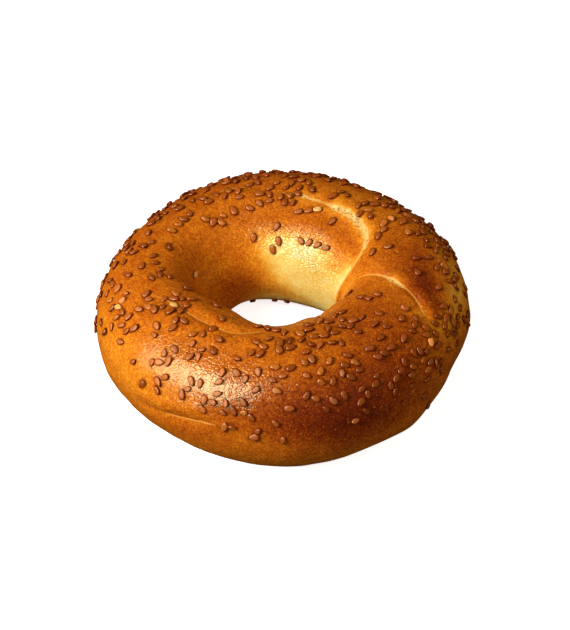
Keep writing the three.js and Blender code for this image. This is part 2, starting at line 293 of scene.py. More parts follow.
@dataclass(frozen=True)
class Spot:
    """An oval patch of the crust, strongest in its middle, with what it adds there."""

    around: float
    across: float
    reach_around: float
    reach_across: float
    amount: float

    def share(self, around: Any, across: Any) -> Any:
        """1 in the patch's middle, falling softly to 0 outside it."""
        aside = turn(self.around, around) / self.reach_around
        along = turn(self.across, across) / self.reach_across
        return np.exp(-(aside * aside + along * along))


def total(spots: Sequence[Spot], around: Any, across: Any) -> Any:
    """What all patches add together at places."""
    return sum(spot.amount * spot.share(around, across) for spot in spots)


def store(mesh: bpy.types.Mesh, values: dict[str, Array]) -> None:
    """Stores numbers on the mesh's points, under the names by which materials read them."""
    for name, numbers in values.items():
        attribute = mesh.attributes.new(name, "FLOAT", "POINT")
        attribute.data.foreach_set("value", numbers.astype(np.float32))


@dataclass(frozen=True)
class Rope:
    """The even dough rope, bent into a ring."""

    centre: Pair = (-1.9, 1.3)
    ring_radius: float = 35.3
    half_width: float = 18.4
    half_height: float = 18.7
    squareness: float = 2.15
    settling: float = 0.9
    base_ease: float = 1.2
    radius_waves: Waves = ((2, 1.5, -10.0), (3, 1.0, 23.0), (4, 0.8, 0.0))
    width_waves: Waves = ((1, 2.1, -33.0), (2, 1.3, 74.0), (3, 1.0, -34.0), (4, 0.6, 29.0))
    height_waves: Waves = ((1, 0.4, 47.0), (2, 0.5, 71.0))

    @staticmethod
    def _wavy(mean: float, waves: Waves, around: Any) -> Any:
        """A length that varies round the ring."""
        swings = (height * np.cos(count * np.radians(around - crest)) for count, height, crest in waves)
        return sum(swings, mean)

    def _fuller(self, value: Any) -> Any:
        """cos or sin of an angle, made fuller by the section's squareness."""
        return np.sign(value) * np.abs(value) ** (2 / self.squareness)

    def _pressed(self, height: Any) -> Any:
        """Height above the floor, with everything below it pressed flat and a soft turn into the flat."""
        ease = self.base_ease
        eased = (np.clip(height, -ease, ease) + ease) ** 2 / (4 * ease)
        return np.where(height > ease, height, eased)

    def point(self, around: Any, across: Any) -> Array:
        """Points of the even rope, before any relief."""
        half_height = self._wavy(self.half_height, self.height_waves, around)
        half_width = self._wavy(self.half_width, self.width_waves, around)
        out = self._fuller(np.cos(np.radians(across))) * half_width
        radius = self._wavy(self.ring_radius, self.radius_waves, around) + out
        raised = self._fuller(np.sin(np.radians(across))) * half_height
        return np.stack([
            self.centre[0] + radius * np.cos(np.radians(around)),
            self.centre[1] + radius * np.sin(np.radians(around)),
            self._pressed(raised + self.settling * half_height),
        ], axis=-1)

    def directions(self, around: Any, across: Any, nudge: float = 0.5) -> tuple[Array, Array, Array]:
        """The rope's directions at places.

        Args:
            around: the places' angles round the ring.
            across: their angles round the rope.
            nudge: the small angle over which a direction is taken.

        Returns:
            Along the ring, across the rope, and out of the crust.
        """
        along = unit(self.point(around + nudge, across) - self.point(around - nudge, across))
        over = unit(self.point(around, across + nudge) - self.point(around, across - nudge))
        return along, over, unit(np.cross(along, over))


@dataclass(frozen=True)
class Crease:
    """A seam or fold of the crust: places that a smooth curve joins, with its depth and its pale line,
    which on the low fold is a painted highlight.
    """

    path: tuple[Place, ...]
    depth: float
    half_width: float
    banks: Pair  # how far the crust swells on the left and on the right of the path
    ends: Pair   # share of the path over which it fades out at its start and end
    pale: tuple[Pair, ...]  # half width of the pale line: share of the path, millimetres
    torn: float = 0.0           # how rough the pale line is, from 0 to 1
    steps: int = 90

    def places(self) -> Array:
        """Places along the smooth curve: an even Catmull-Rom spline through the path."""
        knots = np.array(self.path)
        knots = np.vstack([2 * knots[0] - knots[1], knots, 2 * knots[-1] - knots[-2]])
        parts = len(self.path) - 1
        along = np.linspace(0.0, parts, self.steps + 1)
        part = np.minimum(along.astype(int), parts - 1)
        share = (along - part)[:, None]
        before, start, end, after = (knots[part + i] for i in range(4))
        leaving, arriving = 0.5 * (end - before), 0.5 * (after - start)
        bend = -3 * start + 3 * end - 2 * leaving - arriving
        twist = 2 * start - 2 * end + leaving + arriving
        return start + share * (leaving + share * (bend + share * twist))


class Trace:
    """A crease's curve on the rope, and how far points lie from it."""

    def __init__(self, crease: Crease, rope: Rope) -> None:
        """Lays the crease on the rope."""
        self.crease = crease
        self.places = crease.places()
        around, across = self.places.T
        self.points = rope.point(around, across)
        last = crease.steps
        order = np.arange(last + 1)
        ahead = unit(self.points[np.minimum(order + 1, last)] - self.points[np.maximum(order - 1, 0)])
        self.left = np.cross(rope.directions(around, across)[2], ahead)
        self.share = order / last
        self.strength = rise(self.share, 0, crease.ends[0]) * rise(1 - self.share, 0, crease.ends[1])
        self.pale = np.interp(self.share, *zip(*crease.pale))

    def offset(self, points: Array) -> tuple[Array, Array]:
        """Signed distances.

        Args:
            points: points of the rope.

        Returns:
            The nearest step, and the distance, positive on the left of the path.
        """
        index = np.zeros(len(points), dtype=int)
        distance = np.full(len(points), np.inf)
        for i, knot in enumerate(self.points):
            there = np.linalg.norm(points - knot, axis=1)
            closer = there < distance
            distance[closer] = there[closer]
            index[closer] = i
        aside = np.einsum("ij,ij->i", points - self.points[index], self.left[index])
        return index, np.where(aside > 0, distance, -distance)

    def relief(self, points: Array, sharpness: float, bank_reach: float) -> Array:
        """How far the crease moves the crust outwards.

        Args:
            points: points of the rope.
            sharpness: 2 is a round-bottomed crease, 1 a folded one.
            bank_reach: half widths from the crease to the top of a bank.

        Returns:
            A height in millimetres for each point.
        """
        index, offset = self.offset(points)
        distance = np.abs(offset)
        valley = np.exp(-((distance / self.crease.half_width) ** sharpness))
        side = np.where(offset > 0, *self.crease.banks)
        away = distance / (self.crease.half_width * bank_reach)
        bank = away * away * np.exp(1 - away * away)
        return self.strength[index] * (side * bank - self.crease.depth * valley)


OVERLAP = Crease(
    path=((90, 97), (72, 99), (55, 100.5), (42, 102.5), (28.5, 109.5), (18.5, 122), (14, 140),
          (13.3, 157), (16.5, 177), (23, 200)),
    depth=0.8, half_width=1.7, banks=(0.3, -0.6), ends=(0.3, 0.7),
    pale=((0.0, 0.0), (0.04, 0.5), (0.09, 0.75), (0.14, 0.7), (0.18, 0.4), (0.22, 1.0), (0.3, 1.4),
          (0.42, 1.35), (0.5, 0.9), (0.6, 0.55), (0.8, 0.35), (1.0, 0.1)),
    torn=1.0,
)
LOBE_EDGE = Crease(
    path=((361, 143), (357.5, 130), (351.5, 108), (345.5, 91), (339, 70), (335, 56), (334, 42)),
    depth=0.5, half_width=1.1, banks=(0.25, 0.0), ends=(0.3, 0.3),
    pale=((0.0, 0.0), (0.1, 0.2), (0.25, 0.4), (0.36, 0.55), (0.43, 1.0), (0.5, 0.7), (0.55, 0.3),
          (0.75, 0.25), (0.85, 0.0), (1.0, 0.0)),
    torn=0.8,
)
HOLE_FOLD = Crease(
    path=((199, 85), (210, 92), (229.5, 95), (246.5, 98), (258, 108), (270, 116)),
    depth=0.6, half_width=1.5, banks=(0.35, 0.15), ends=(0.3, 0.3),
    pale=((0.0, 0.1), (0.15, 0.25), (0.6, 0.25), (0.85, 0.2), (1.0, 0.0)),
)
# a fold low on the outer side; its pale line is a painted highlight along its ridge
LOW_FOLD = Crease(
    path=((218, 358), (227, 358), (235, 361.5), (246, 368), (252, 371)),
    depth=0.6, half_width=1.5, banks=(0.4, 0.1), ends=(0.3, 0.3),
    pale=((0.0, 0.0), (0.45, 0.1), (0.55, 0.3), (0.9, 0.3), (1.0, 0.0)),
)
BACK_FOLD = Crease(
    path=((128, 90), (117, 83), (104, 85.5), (95, 89)),
    depth=0.5, half_width=1.6, banks=(0.1, 0.3), ends=(0.35, 0.35),
    pale=((0.0, 0.0), (0.3, 0.15), (0.8, 0.1), (1.0, 0.0)),
)


# --- Crust ---


@dataclass(frozen=True)
class CrustFinish:
    """Egg-washed baked crust: from pale crumb over gold and orange to dark brown."""

    bake_stops: tuple[tuple[float, Colour], ...] = (
        (0.00, (0.95, 0.81, 0.380)),
        (0.07, (0.94, 0.75, 0.210)),
        (0.17, (0.89, 0.48, 0.060)),
        (0.30, (0.76, 0.275, 0.015)),
        (0.45, (0.60, 0.165, 0.006)),
        (0.60, (0.43, 0.095, 0.004)),
        (0.80, (0.23, 0.034, 0.003)),
        (1.00, (0.11, 0.012, 0.003)),
    )
    crumb: Colour = (0.92, 0.57, 0.190)
    gold: Colour = (0.84, 0.40, 0.060)
    # painted shade in the torn crumb's pits
    pit_shade: Colour = (0.30, 0.120, 0.020)
    # darkens the crackle's grooves: browned egg wash and painted shade
    crack_browning_and_shade: Colour = (0.66, 0.38, 0.150)
    # painted shade round the seeds' edges
    painted_seed_shade: Colour = (0.15, 0.018, 0.002)
    mottling: float = 0.20      # how much browner soft mottles are, and then speckles and freckles
    speckling: float = 0.95
    freckling: float = 0.35
    wave_depth: float = 0.14    # depths of the skin's waves, of its crackle, and of blisters and pits
    crackle_depth: float = 0.13
    pit_depth: float = 0.07
    index: float = 1.46
    shine: Colour = (0.72, 0.93, 0.56)
    roughness: float = 0.19

    def material(self) -> bpy.types.Material:
        """Builds the crust's material.

        Returns:
            The material, which reads the crust's attributes.
        """
        board = Board("egg_washed_crust")
        place = board.place()
        browning = board.attribute("browning")
        wrinkle = board.attribute("wrinkle")
        torn = board.attribute("torn")

        mottle = board.noise(place, 4.5, 3.0, 0.6) - 0.5
        speckle = board.noise(place, 0.55, 3.0, 0.7) - 0.5
        freckle = board.noise(place, 1.3, 2.0, 0.6, 0.6) - 0.5
        speckled = browning.step(0.10, 0.45)
        fine = (self.speckling * speckle + self.freckling * freckle) * (0.3 + 0.7 * speckled)
        baked = board.ramp(browning + self.mottling * mottle + fine, self.bake_stops)

        # lighter gold dots: paler blisters, and painted glints
        blister_and_glint = (1.0 - board.cells(board.bent(place, 0.8, 0.3), 1.35).step(0.08, 0.26)) \
            * board.noise(place, 1.9, 1.0).step(0.42, 0.60) * speckled
        with_blisters_and_glints = board.mixed(blister_and_glint * 0.38, baked, self.gold)

        ragged = (board.noise(place, 1.1, 2.0, 0.6) - 0.5) * (0.5 + 1.3 * torn)
        reach = abs(board.attribute("seam_offset")) + 0.5 * ragged
        width = board.attribute("seam_width")
        # pale lines along the creases: torn crumb on the seams, and a painted highlight on the low fold
        line = (1.0 - reach.step(width * 0.55, width * 1.1 + 0.1)) * width.step(0.02, 0.2)
        inside = board.mixed(torn, self.gold, self.crumb)
        with_pale_lines = board.mixed(line * (0.6 + 0.32 * torn), with_blisters_and_glints, inside)
        # painted shade in the small pits of the torn crumb
        pits = (1.0 - board.cells(board.bent(place, 0.7, 0.5), 0.85).step(0.16, 0.38)) * torn * line
        with_pits = board.mixed(pits * 0.9, with_pale_lines, self.pit_shade)
        # painted shade on the crust round each seed's edge
        colour = board.mixed(board.attribute("painted_seed_shade") * 0.6, with_pits, self.painted_seed_shade)

        skin = board.bent(board.place((1.0, 1.0, 1.25)), 1.6, 1.3)
        crackle = board.cells(skin, 1.2, "DISTANCE_TO_EDGE").step(0.0, 0.24)
        # the crackle's grooves are darker: egg wash browned there, and painted shade
        cracks_browned_and_shaded = (wrinkle * wrinkle * (1.0 - crackle)).clamped()
        colour = board.mixed(cracks_browned_and_shaded * 0.5, colour, self.crack_browning_and_shade, "MULTIPLY")
        wavy = board.bump(board.noise(place, 1.7, 1.0, 0.5), self.wave_depth)
        creased = board.bump(crackle * (0.12 + 0.88 * wrinkle), self.crackle_depth, wavy)
        normal = board.bump(blister_and_glint - 1.6 * pits, self.pit_depth, creased)
        rough = self.roughness + 0.10 * (board.noise(place, 2.2, 2.0) - 0.5) + 0.35 * line
        return board.surface({
            "Base Color": colour, "Roughness": rough, "Normal": normal, "IOR": self.index,
            "Specular Tint": self.shine,
        }, board.attribute("dull"))


@dataclass
class Crust:
    """The baked dough ring with its seams, dents, wrinkles and torn band."""

    rope: Rope = field(default_factory=Rope)
    creases: tuple[Crease, ...] = (OVERLAP, LOBE_EDGE, HOLE_FOLD, LOW_FOLD, BACK_FOLD)
    swellings: tuple[Spot, ...] = (
        Spot(8, 116, 14, 20, 1.5),     # the lobe that the rope's end makes between its two seams
        Spot(336, 68, 6, 20, -0.7),    # the groove beside it
        Spot(315, 332, 7, 26, 1.0),
        Spot(341, 347, 8, 26, -1.2),   # dent in the outer side, under the lobe
        Spot(354, 4, 6, 20, 0.5),
        Spot(250, 46, 24, 16, 0.8),    # flatter shoulder, front left
        Spot(250, 76, 24, 16, -0.5),
        Spot(146, 213, 22, 22, 5.2),   # the hole's wall leans in low on one side
        Spot(311, 139, 11, 24, -2.0),  # and stands back across from there
    )
    wrinkled: tuple[Spot, ...] = (
        Spot(246, 60, 26, 22, 0.6),    # leathery top of the front left
        Spot(58, 146, 42, 20, 1.1),    # slope into the hole at the back
        Spot(100, 128, 20, 16, 0.6),
        Spot(32, 170, 26, 22, 0.6),    # wall of the hole under it
    )
    dullness: float = 0.7
    dull: tuple[Spot, ...] = (
        Spot(243, 50, 24, 34, -0.62),  # the egg wash lies thickest at the front left
        Spot(68, 156, 36, 20, -1.0),   # and on the slope into the hole
        Spot(80, 123, 40, 11, 0.45),   # but not above it
        Spot(30, 124, 15, 20, 0.6),    # beside the overlap
        Spot(358, 124, 15, 24, 0.4),   # the lobe's side towards the hole
        Spot(185, 90, 45, 40, 0.25),
        Spot(208, 36, 20, 26, 0.25),
        Spot(326, 126, 14, 18, 0.2),
    )
    bake: float = 0.52
    wall_bake: float = 0.07
    wall_heights: Pair = (126.0, 150.0)
    wall_end: Pair = (74.0, 118.0)  # degrees round from the overlap where the wall browns
    wall_steps: int = 60            # the steps of the overlap that bound the wall
    baked: tuple[Spot, ...] = (
        Spot(290, 20, 34, 30, 0.34),   # darkest, low in front on the right
        Spot(290, 14, 16, 16, 0.10),
        Spot(268, 2, 14, 12, -0.10),
        Spot(275, 45, 40, 22, 0.10),
        Spot(318, 60, 30, 26, 0.16),
        Spot(320, 96, 20, 24, 0.13),
        Spot(347, 68, 7, 12, 0.24),    # outer side of the lobe
        Spot(341, 54, 5, 12, 0.26),
        Spot(353, 80, 9, 12, 0.13),
        Spot(2, 84, 16, 16, 0.16),
        Spot(4, 104, 16, 18, 0.05),
        Spot(216, 20, 34, 34, -0.15),  # gold left side
        Spot(240, 356, 14, 12, 0.10),
        Spot(353, 40, 22, 20, -0.32),  # tan right side
        Spot(335, 62, 6, 24, -0.22),   # groove beside the lobe
        Spot(62, 150, 22, 9, -0.05),   # palest on the slope into the hole: stretched skin, and a painted highlight under the gloss
        Spot(165, 80, 50, 50, 0.05),
        Spot(110, 70, 40, 22, 0.08),
        Spot(50, 84, 24, 14, -0.08),
        Spot(48, 118, 20, 9, 0.07),    # inside the overlap
        Spot(27, 147, 11, 13, 0.22),
        # painted shade low on the hole's wall
        Spot(82, 199, 28, 10, 0.17),
        Spot(157, 101, 24, 16, -0.05),
        Spot(150, 170, 20, 20, -0.10),
        Spot(112, 188, 24, 15, 0.28),  # low on the hole's wall: browner crust and painted shade
        Spot(4, 160, 10, 24, -0.22),   # under the lobe
        Spot(275, 330, 40, 16, -0.06),
    )
    low_bake: float = 0.5           # how brown the underside is
    low_heights: tuple[Pair, Pair] = ((40.0, 75.0), (205.0, 250.0))  # where the crust turns to that
    stretch_paling: float = 0.30    # how much paler the crust is beside a torn seam
    stretch_reach: float = 2.7      # and how far
    soft_relief: float = 0.20       # heights of the crust's lumps, from soft ones to torn crumb
    fine_relief: float = 0.09
    wrinkle_relief: float = 0.24
    crumb_relief: float = 0.55
    calm_height: float = 6.0        # below this height the crust smooths out towards the floor
    crease_sharpness: float = 1.4
    bank_reach: float = 2.4
    columns: int = 416
    rows: int = 220
    finest: Place = (30.0, 90.0)    # where the columns and the rows lie closest
    crowding: float = 0.25          # how much closer than on average

    def __post_init__(self) -> None:
        """Lays the creases on the rope."""
        self.traces = [Trace(crease, self.rope) for crease in self.creases]

    def seams(self, points: Array) -> tuple[Array, Array, Array]:
        """The nearest seam's pale line.

        Args:
            points: points of the even rope.

        Returns:
            Signed distance to it, its half width there, and how torn it is.
        """
        offset = np.full(len(points), 99.0)
        width = np.zeros(len(points))
        torn = np.zeros(len(points))
        for trace in self.traces:
            index, there = trace.offset(points)
            closer = np.abs(there) - trace.pale[index] < np.abs(offset) - width
            offset[closer] = there[closer]
            width[closer] = trace.pale[index][closer]
            torn[closer] = trace.crease.torn * rise(width[closer], 0.25, 0.9)
        return offset, width, torn

    def surface(self, around: Array, across: Array) -> tuple[Array, dict[str, Array]]:
        """Points of the finished crust.

        Args:
            around: the places' angles round the ring.
            across: their angles round the rope.

        Returns:
            The points, and what is stored on them, by name.
        """
        rope_points = self.rope.point(around, across)
        out = self.rope.directions(around, across)[2]
        main = total(self.swellings, around, across)
        for trace in self.traces:
            main = main + trace.relief(rope_points, self.crease_sharpness, self.bank_reach)

        offset, width, torn = self.seams(rope_points)
        wrinkle = np.clip(total(self.wrinkled, around, across), 0, 1)
        on_line = 1 - rise(np.abs(offset), 0.6 * width, 1.3 * width + 0.3)
        fine = self.soft_relief * lumps(rope_points, 8.0) + self.fine_relief * lumps(rope_points, 3.6, 7.0)
        folds = 0.25 - np.abs(lumps(rope_points * (1.0, 1.0, 0.5), 1.6, 3.0))
        fine += wrinkle * self.wrinkle_relief * folds
        fine += torn * on_line * self.crumb_relief * lumps(rope_points, 1.5, 11.0)
        calm = rise(rope_points[:, 2], 0, self.calm_height)

        height = turn(90.0, across) + 90.0
        bake = self.bake + (self.wall_bake - self.bake) * self.wall(around, height)
        bake += total(self.baked, around, across)
        below, beyond = self.low_heights
        bake += (self.low_bake - bake) * np.maximum(rise(-height, *below), rise(height, *beyond))
        beside = np.exp(-((np.abs(offset) / self.stretch_reach) ** 2))
        bake -= self.stretch_paling * beside * rise(width, 0.3, 1.1)
        dull = self.dullness + total(self.dull, around, across)
        stored = {
            "browning": np.clip(bake, 0.0, 1.0), "seam_offset": offset, "seam_width": width, "torn": torn,
            "wrinkle": wrinkle, "dull": np.clip(dull, 0.0, 1.0),
        }
        return rope_points + out * (calm * (main + fine))[:, None], stored

    def wall(self, around: Array, height: Array) -> Array:
        """How pale the hole's wall is: it browned less from the overlap round to the far side.

        Args:
            around: the places' angles round the ring.
            height: their angles round the rope, without a jump at the wall.

        Returns:
            1 on the pale wall, 0 elsewhere.
        """
        edge_around, edge_across = self.traces[0].places[-self.wall_steps:].T
        beyond = turn(np.interp(height, edge_across, edge_around), around)
        low, high = self.wall_heights
        return rise(height, low, high) * rise(beyond, -0.5, 1.5) * (1 - rise(beyond, *self.wall_end))

    def places(self, mesh: bpy.types.Mesh, radius: float) -> tuple[Array, Array]:
        """The place that each point of an even ring mesh stands for.

        Args:
            mesh: the ring mesh.
            radius: its radius to the middle of the rope, in metres.

        Returns:
            Angles round the ring and round the rope; the mesh is finest at the seams and on top.
        """
        flat = np.empty(3 * len(mesh.vertices))
        mesh.vertices.foreach_get("co", flat)
        x, y, z = flat.reshape(-1, 3).T
        column = np.rint(np.arctan2(y, x) / math.tau * self.columns)
        row = np.rint(np.arctan2(z, np.hypot(x, y) - radius) / math.tau * self.rows)
        even = 360 * column / self.columns, 360 * row / self.rows
        around, across = (
            angle - np.degrees(self.crowding) * np.sin(np.radians(angle - finest))
            for angle, finest in zip(even, self.finest)
        )
        return around, across

    def build(self, seeds: Sequence[Seed]) -> bpy.types.Object:
        """Models the crust.

        Args:
            seeds: the seeds that will lie on it, round whose edges shade is painted on it.

        Returns:
            The crust.
        """
        bpy.ops.object.select_all(action="DESELECT")
        radius, half = self.rope.ring_radius * MM, self.rope.half_width * MM
        bpy.ops.mesh.primitive_torus_add(major_segments=self.columns // 2, minor_segments=self.rows // 2,
                                         major_radius=radius, minor_radius=half, generate_uvs=False)
        crust = bpy.context.object
        crust.name = crust.data.name = "crust"
        bpy.ops.object.mode_set(mode="EDIT")
        bpy.ops.mesh.select_all(action="SELECT")
        bpy.ops.mesh.subdivide(number_cuts=1)
        bpy.ops.object.mode_set(mode="OBJECT")
        around, across = self.places(crust.data, radius)
        points, stored = self.surface(around, across)
        # where the painted shade round the seeds lies
        stored["painted_seed_shade"] = self.painted_seed_shade(points, seeds)
        crust.data.vertices.foreach_set("co", (points * MM).ravel())
        store(crust.data, stored)
        crust.data.update()
        bpy.ops.object.mode_set(mode="EDIT")
        bpy.ops.mesh.select_all(action="SELECT")
        bpy.ops.mesh.normals_make_consistent(inside=False)
        bpy.ops.object.mode_set(mode="OBJECT")
        bpy.ops.object.shade_smooth()
        crust.data.materials.append(CrustFinish().material())
        return crust

    @staticmethod
    def painted_seed_shade(points: Array, seeds: Sequence[Seed]) -> Array:
        """Painted shade round the seeds: how close each point is to a seed's edge.

        Args:
            points: points of the crust.
            seeds: the seeds on it.

        Returns:
            1 at an edge, falling to 0 a little outside it.
        """
        seed_shade_share = np.zeros(len(points))
        for seed in seeds:
            aside = points - seed.point
            near = np.flatnonzero(np.einsum("ij,ij->i", aside, aside) < PAINTED_SHADE_REACH ** 2)
            length = aside[near] @ seed.along / (0.5 * SEED_LENGTH * seed.size)
            width = aside[near] @ seed.over / (0.5 * SEED_WIDTH * seed.size)
            edge = np.hypot(length, width)
            seed_shade_share[near] = np.maximum(seed_shade_share[near], 1 - rise(edge, *PAINTED_SHADE_EDGE))
        return seed_shade_share


# --- Sesame seeds ---

SEED_LENGTH = 3.0
SEED_WIDTH = 1.85
SEED_RISE = 0.75    # the seed's back above the crust
SEED_SUNK = 0.15    # its sides reach this far into the crust
SEED_TAPER = 0.3    # how much narrower it is towards its tip
PALEST_GLAZE = 0.5  # the seeds brown at least this much, also where the crust under them stays pale
PAINTED_SHADE_REACH = 3.2         # painted shade reaches no crust further than this from a seed's middle
PAINTED_SHADE_EDGE = (0.95, 1.4)  # in half seeds: how far the painted shade is darkest, and where it ends


class SeedShade(Enum):
    """The three colours that sesame seeds take in the oven."""

    TOASTED = "sesame_toasted"
    GOLDEN = "sesame_golden"
    PALE = "sesame_pale"

    @property
    def piece(self) -> str:
        """Name of the piece that holds these seeds."""
        return self.value.replace("sesame", "seeds")


@dataclass
class Seed:
    """One seed: where it lies, how large it is and how it is turned."""

    place: Place
    size: float
    turned: float
    roll: float
    pitch: float
    shade: SeedShade = SeedShade.TOASTED
    browning: float = 0.5       # how dark the crust is under it
    point: Array = field(default_factory=lambda: np.zeros(3))
    along: Array = field(default_factory=lambda: np.zeros(3))
    over: Array = field(default_factory=lambda: np.zeros(3))
    out: Array = field(default_factory=lambda: np.zeros(3))

    def lay(self, crust: Crust) -> None:
        """Finds the seed's point on the crust, its own directions and how brown it lies."""
        around, across = (np.array([angle]) for angle in self.place)
        points, stored = crust.surface(around, across)
        self.point, self.browning = points[0], max(stored["browning"][0], PALEST_GLAZE)
        along, over, out = (direction[0] for direction in crust.rope.directions(around, across))
        tilted = Matrix.Rotation(self.turned, 3, "Z") @ Matrix.Rotation(self.pitch, 3, "Y") \
            @ Matrix.Rotation(self.roll, 3, "X")
        axes = np.column_stack([along, over, out]) @ np.array(tilted)
        self.along, self.over, self.out = axes.T

    def tone(self) -> float:
        """A number from 0 to 1 that differs from seed to seed."""
        return abs(math.sin(12.9 * self.place[0] + 4.1 * self.place[1]))


@dataclass(frozen=True)
class Scattering:
    """The rule by which seeds fell on the bagel, the same on every run."""

    count: int = 490
    spacing: float = 2.3
    cluster_chance: float = 0.12
    cluster_reach: Pair = (2.3, 3.2)
    cluster_liking: float = 1.6
    lowest: float = -32.0
    highest: float = 205.0
    low_liking: float = 0.06            # how much seeds like the lower outer side,
    top_liking: float = 0.66            # and how much the top
    outer_side: Pair = (-10.0, 40.0)    # across these angles they become many,
    hole_side: Pair = (102.0, 132.0)    # and across these none again
    last_full: float = 185.0            # from here to the highest angle the wall has none
    on_edge_chance: float = 0.14
    rolls: Pair = (0.9, 0.22)           # furthest roll of a seed on its edge, and of the others
    furthest_pitch: float = 0.2
    size_spread: float = 0.16
    start: int = 20611
    row_first: Place = (66.0, 142.0)
    row_step: Place = (-8.0, -0.3)
    row_turns: tuple[float, ...] = (-35.0, 70.0, 50.0, 30.0)
    row_size: float = 0.95
    patches: tuple[Spot, ...] = (
        Spot(4, 118, 24, 26, 0.1),     # the smooth lobe
        Spot(48, 103, 30, 13, 0.1),    # beside the torn seam
        Spot(75, 124, 40, 16, 0.2),    # the slope into the hole at the back
        Spot(354, 113, 14, 16, 0.1),   # the lobe's edge
        Spot(338, 72, 9, 24, 0.08),    # the groove
        Spot(216, 2, 34, 26, 0.12),    # low on the outer side
        Spot(185, 60, 34, 50, 0.7),
        Spot(215, 112, 30, 16, 0.4),
        Spot(290, 86, 36, 30, 1.4),
        Spot(248, 50, 16, 18, 0.6),
        Spot(88, 66, 60, 24, 1.3),
        Spot(350, 30, 26, 22, 1.6),
    )
    dark_singles: tuple[tuple[float, float, float], ...] = (  # around, across, turn
        (110, 142, 80), (94, 154, 95), (90, 132.5, 60), (88, 146, 100), (10, 117, 140), (10.5, 103.5, 80),
        (40, 97.5, 105), (23.5, 97, 120), (49.5, 115, 85), (68, 112.5, 35), (74.5, 116, 25),
        (78, 97.5, 145), (82.5, 86, 90), (93.5, 92, 40), (99, 83, 110), (100.5, 109, 125), (107, 113, 145),
        (344.5, 141, 165), (331.5, 113, 95), (331, 105.5, 90), (313.5, 109, 5), (111, 222, 90),
        (92, 222, 90), (80, 219, 90),
    )
    pale_singles: tuple[tuple[float, float, float], ...] = (
        (63, 109, 20), (164.5, 152, 0), (197.5, 52, 35), (211, 91, 15),
    )
    golden_share: float = 0.18

    def _draws(self, start: int) -> Iterator[float]:
        """Numbers from 0 to 1 that come out the same every time."""
        state = start
        while True:
            state = state * 16807 % 2147483647
            yield state / 2147483647

    def _liking(self, place: Place) -> float:
        """How much seeds like a place, from 0 to 1."""
        around, across = place[0], turn(90.0, place[1]) + 90.0
        side, top = self.outer_side
        outside = self.low_liking * rise(across, self.lowest, side)
        outside += (1 - self.low_liking) * rise(across, side, top)
        hole_side = 1 - rise(across, *self.hole_side)
        patches = math.prod(1 + (spot.amount - 1) * spot.share(around, across) for spot in self.patches)
        wall = 1 - rise(across, self.last_full, self.highest)
        return self.top_liking * outside * hole_side * patches * wall

    @staticmethod
    def _beside(rope: Rope, place: Place, distance: float, direction: float) -> Place:
        """A place beside another one.

        Args:
            rope: the rope they lie on.
            place: the other place.
            distance: how far away, in millimetres.
            direction: which way, in radians.

        Returns:
            The place.
        """
        here = rope.point(*place)
        per_around = np.linalg.norm(rope.point(place[0] + 1, place[1]) - here)
        per_across = np.linalg.norm(rope.point(place[0], place[1] + 1) - here)
        return (place[0] + distance * math.cos(direction) / per_around,
                place[1] + distance * math.sin(direction) / per_across)

    def scatter(self, rope: Rope) -> list[Seed]:
        """Lets the seeds fall.

        Args:
            rope: the rope that they fall on.

        Returns:
            The seeds, in the order in which they fell.
        """
        draws = self._draws(self.start)
        seeds = [
            Seed((self.row_first[0] + i * self.row_step[0], self.row_first[1] + i * self.row_step[1]),
                 self.row_size, math.radians(turned), 0.0, 0.0)
            for i, turned in enumerate(self.row_turns)
        ]
        for around, across, turned in self.dark_singles + self.pale_singles:
            seeds.append(Seed((around, across), 1.0, math.radians(turned), 0.0, 0.0))
        points = [rope.point(*seed.place) for seed in seeds]
        widest = rope.ring_radius + rope.half_width
        near, far = self.cluster_reach
        while len(seeds) < self.count:
            clustered = next(draws) < self.cluster_chance
            first, second, third = next(draws), next(draws), next(draws)
            if clustered:
                other = seeds[math.floor(third * len(seeds))].place
                place = self._beside(rope, other, near + first * (far - near), math.tau * second)
            else:
                place = (360 * first, self.lowest + second * (self.highest - self.lowest))
            size = 1 + self.size_spread * (2 * next(draws) - 1)
            turned = math.tau * next(draws)
            roll = self.rolls[next(draws) >= self.on_edge_chance] * (2 * next(draws) - 1)
            pitch = self.furthest_pitch * (2 * next(draws) - 1)
            point = rope.point(*place)
            aside = math.hypot(point[0] - rope.centre[0], point[1] - rope.centre[1])
            even_area = 1 if clustered else aside / widest
            likelier = self.cluster_liking if clustered else 1
            liked = next(draws) < self._liking(place) * even_area * likelier
            if liked and np.linalg.norm(np.array(points) - point, axis=1).min() > self.spacing:
                seeds.append(Seed(place, size, turned, roll, pitch))
                points.append(point)
        return seeds

    def shade(self, seeds: list[Seed]) -> None:
        """Gives each seed its colour.

        Args:
            seeds: the seeds, in the order in which they fell.
        """
        draws = self._draws(self.start + 1)
        placed = len(self.row_turns) + len(self.dark_singles)
        singles = placed + len(self.pale_singles)
        for i, seed in enumerate(seeds):
            drawn = next(draws)
            if placed <= i < singles:
                seed.shade = SeedShade.PALE
            elif i >= singles and drawn < self.golden_share:
                seed.shade = SeedShade.GOLDEN


